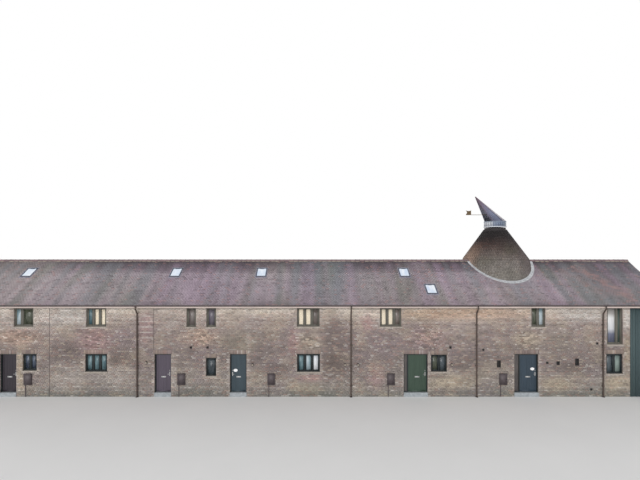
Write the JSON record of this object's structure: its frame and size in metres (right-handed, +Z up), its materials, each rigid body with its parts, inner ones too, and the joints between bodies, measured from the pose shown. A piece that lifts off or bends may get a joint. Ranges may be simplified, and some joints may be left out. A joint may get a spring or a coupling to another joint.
{
  "type": "terraced houses in a converted oast range",
  "caption": "Long two-storey brick terrace under one tiled roof, with opening front doors, rooflights, and a conical kiln roof topped by a turning cowl.",
  "frame": {"origin": "on the ground at the middle of the range, halfway between its outer ends and between its eaves", "axes": "+X to the right along the front, -Y out of the front with the doors, +Z up"},
  "size_m": [39.88, 6.872, 11.5698],
  "materials": {
    "brick": "weathered brickwork",
    "roof_tile": "weathered plain clay tiles",
    "concrete": "floated concrete",
    "floor_boards": "sawn boards",
    "dark_boards": "dark painted boards",
    "black_metal": "black paint",
    "window_paint": "dark olive grey paint",
    "glass": "clear",
    "blind": "cream cloth",
    "rooflight_metal": "dark grey paint",
    "door_paint": "dark satin paint",
    "fittings": "satin",
    "step_stone": "worn stone",
    "meter_plastic": "brown",
    "lead": "dull lead",
    "iron": "black iron",
    "beam": "old oak",
    "cowl_paint": "white painted boards",
    "vane_paint": "brown paint"
  },
  "bodies": {
    "house": {"ground_floor": "concrete", "upper_floor": "floor_boards", "walls_over_doors": "brick", "rear_wall": "brick", "party_wall_left": "brick", "party_wall_right": "brick", "end_boarding": "dark_boards", "ridge_tiles": "roof_tile", "fascias": "black_metal", "gutters": "black_metal", "downpipes": "black_metal", "front_window_frames": "window_paint", "rear_window_frames": "window_paint", "front_window_sills": "step_stone", "rear_window_sills": "step_stone", "lower_front_glass": "glass", "upper_front_glass": "glass", "rear_glass": "glass", "window_blinds": "blind", "rooflight_frames": "rooflight_metal", "rooflight_glass": "glass", "door_frames": "door_paint", "door_side_lights": "glass", "door_thresholds": "step_stone", "door_frame_hinges": "fittings", "meter_boxes": "meter_plastic", "wall_lamps": "black_metal", "wall_vents": "meter_plastic", "kiln_drum": "roof_tile", "kiln_cone": "roof_tile", "kiln_flashing": "lead", "cowl_curb": "iron", "cowl_foot_beam": "beam", "roof_front_left": "roof_tile", "roof_front_kiln": "roof_tile", "roof_front_right": "roof_tile", "roof_rear_left": "roof_tile", "roof_rear_kiln": "roof_tile", "roof_rear_right": "roof_tile", "front_wall_1": "brick", "front_wall_2": "brick", "front_wall_3": "brick", "front_wall_4": "brick", "front_wall_5": "brick", "front_wall_6": "brick"},
    "door_1": {"door_leaf_1": "door_paint", "door_furniture_1": "fittings"},
    "door_2": {"door_leaf_2": "door_paint", "door_furniture_2": "fittings"},
    "door_3": {"door_leaf_3": "door_paint", "door_furniture_3": "fittings"},
    "door_4": {"door_leaf_4": "door_paint", "door_furniture_4": "fittings"},
    "door_5": {"door_leaf_5": "door_paint", "door_furniture_5": "fittings"},
    "cowl": {"cowl_shell": "cowl_paint", "cowl_spindle": "iron", "cowl_vane": "vane_paint"}
  },
  "joints": [
    {"name": "door_1_hinge", "type": "hinge", "parent": "house", "child": "door_1", "pos_m": [-17.377, -2.907, 1.2], "axis": [0, 0, 1], "range_deg": [0, 90]},
    {"name": "door_2_hinge", "type": "hinge", "parent": "house", "child": "door_2", "pos_m": [-8.787, -2.907, 1.2], "axis": [0, 0, 1], "range_deg": [0, 90]},
    {"name": "door_3_hinge", "type": "hinge", "parent": "house", "child": "door_3", "pos_m": [-3.763, -2.907, 1.2], "axis": [0, 0, -1], "range_deg": [0, 90]},
    {"name": "door_4_hinge", "type": "hinge", "parent": "house", "child": "door_4", "pos_m": [5.263, -2.907, 1.2], "axis": [0, 0, 1], "range_deg": [0, 90]},
    {"name": "door_5_hinge", "type": "hinge", "parent": "house", "child": "door_5", "pos_m": [11.488, -2.907, 1.2], "axis": [0, 0, 1], "range_deg": [0, 90]},
    {"name": "cowl_turn", "type": "hinge", "parent": "house", "child": "cowl", "pos_m": [11.75, 0.5, 9.5], "axis": [0, 0, 1], "continuous": true}
  ]
}
